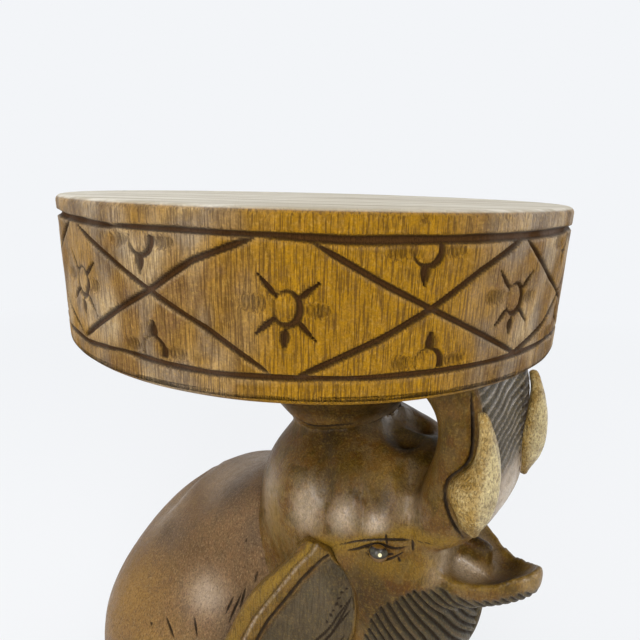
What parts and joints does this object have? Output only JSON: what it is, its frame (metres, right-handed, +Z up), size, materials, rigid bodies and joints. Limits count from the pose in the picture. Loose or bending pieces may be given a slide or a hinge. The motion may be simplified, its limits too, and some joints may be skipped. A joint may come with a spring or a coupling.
{
  "type": "carved elephant stool",
  "caption": "Carved wooden stool: a round seat with a lattice-and-flower band borne on a standing elephant with its trunk raised.",
  "frame": {"origin": "on the floor, at the middle of the footprint, on the axis of the round seat", "axes": "+Z up; the elephant faces -Y, its right side is -X"},
  "size_m": [0.28, 0.3131, 0.46],
  "materials": {
    "seat_wood": "ochre-stained, open grain, waxed",
    "head_wood": "brown-stained, waxed, satin",
    "body_wood": "brown-stained, waxed, satin",
    "ear_wood": "brown-stained, golden rim, waxed",
    "tusk_wood": "pale wood, rubbed with dark stain",
    "eye_paint": "dark stain with a pale dot",
    "dowel_wood": "plain turned"
  },
  "bodies": {
    "root": {"seat": "seat_wood", "crown": "head_wood", "head": "head_wood", "body": "body_wood", "ear_right": "ear_wood", "ear_left": "ear_wood", "tusk_right": "tusk_wood", "tusk_left": "tusk_wood", "eye_right": "eye_paint", "eye_left": "eye_paint", "seat_dowel": "dowel_wood", "trunk_dowel": "dowel_wood", "neck_dowels": "dowel_wood"}
  },
  "joints": []
}
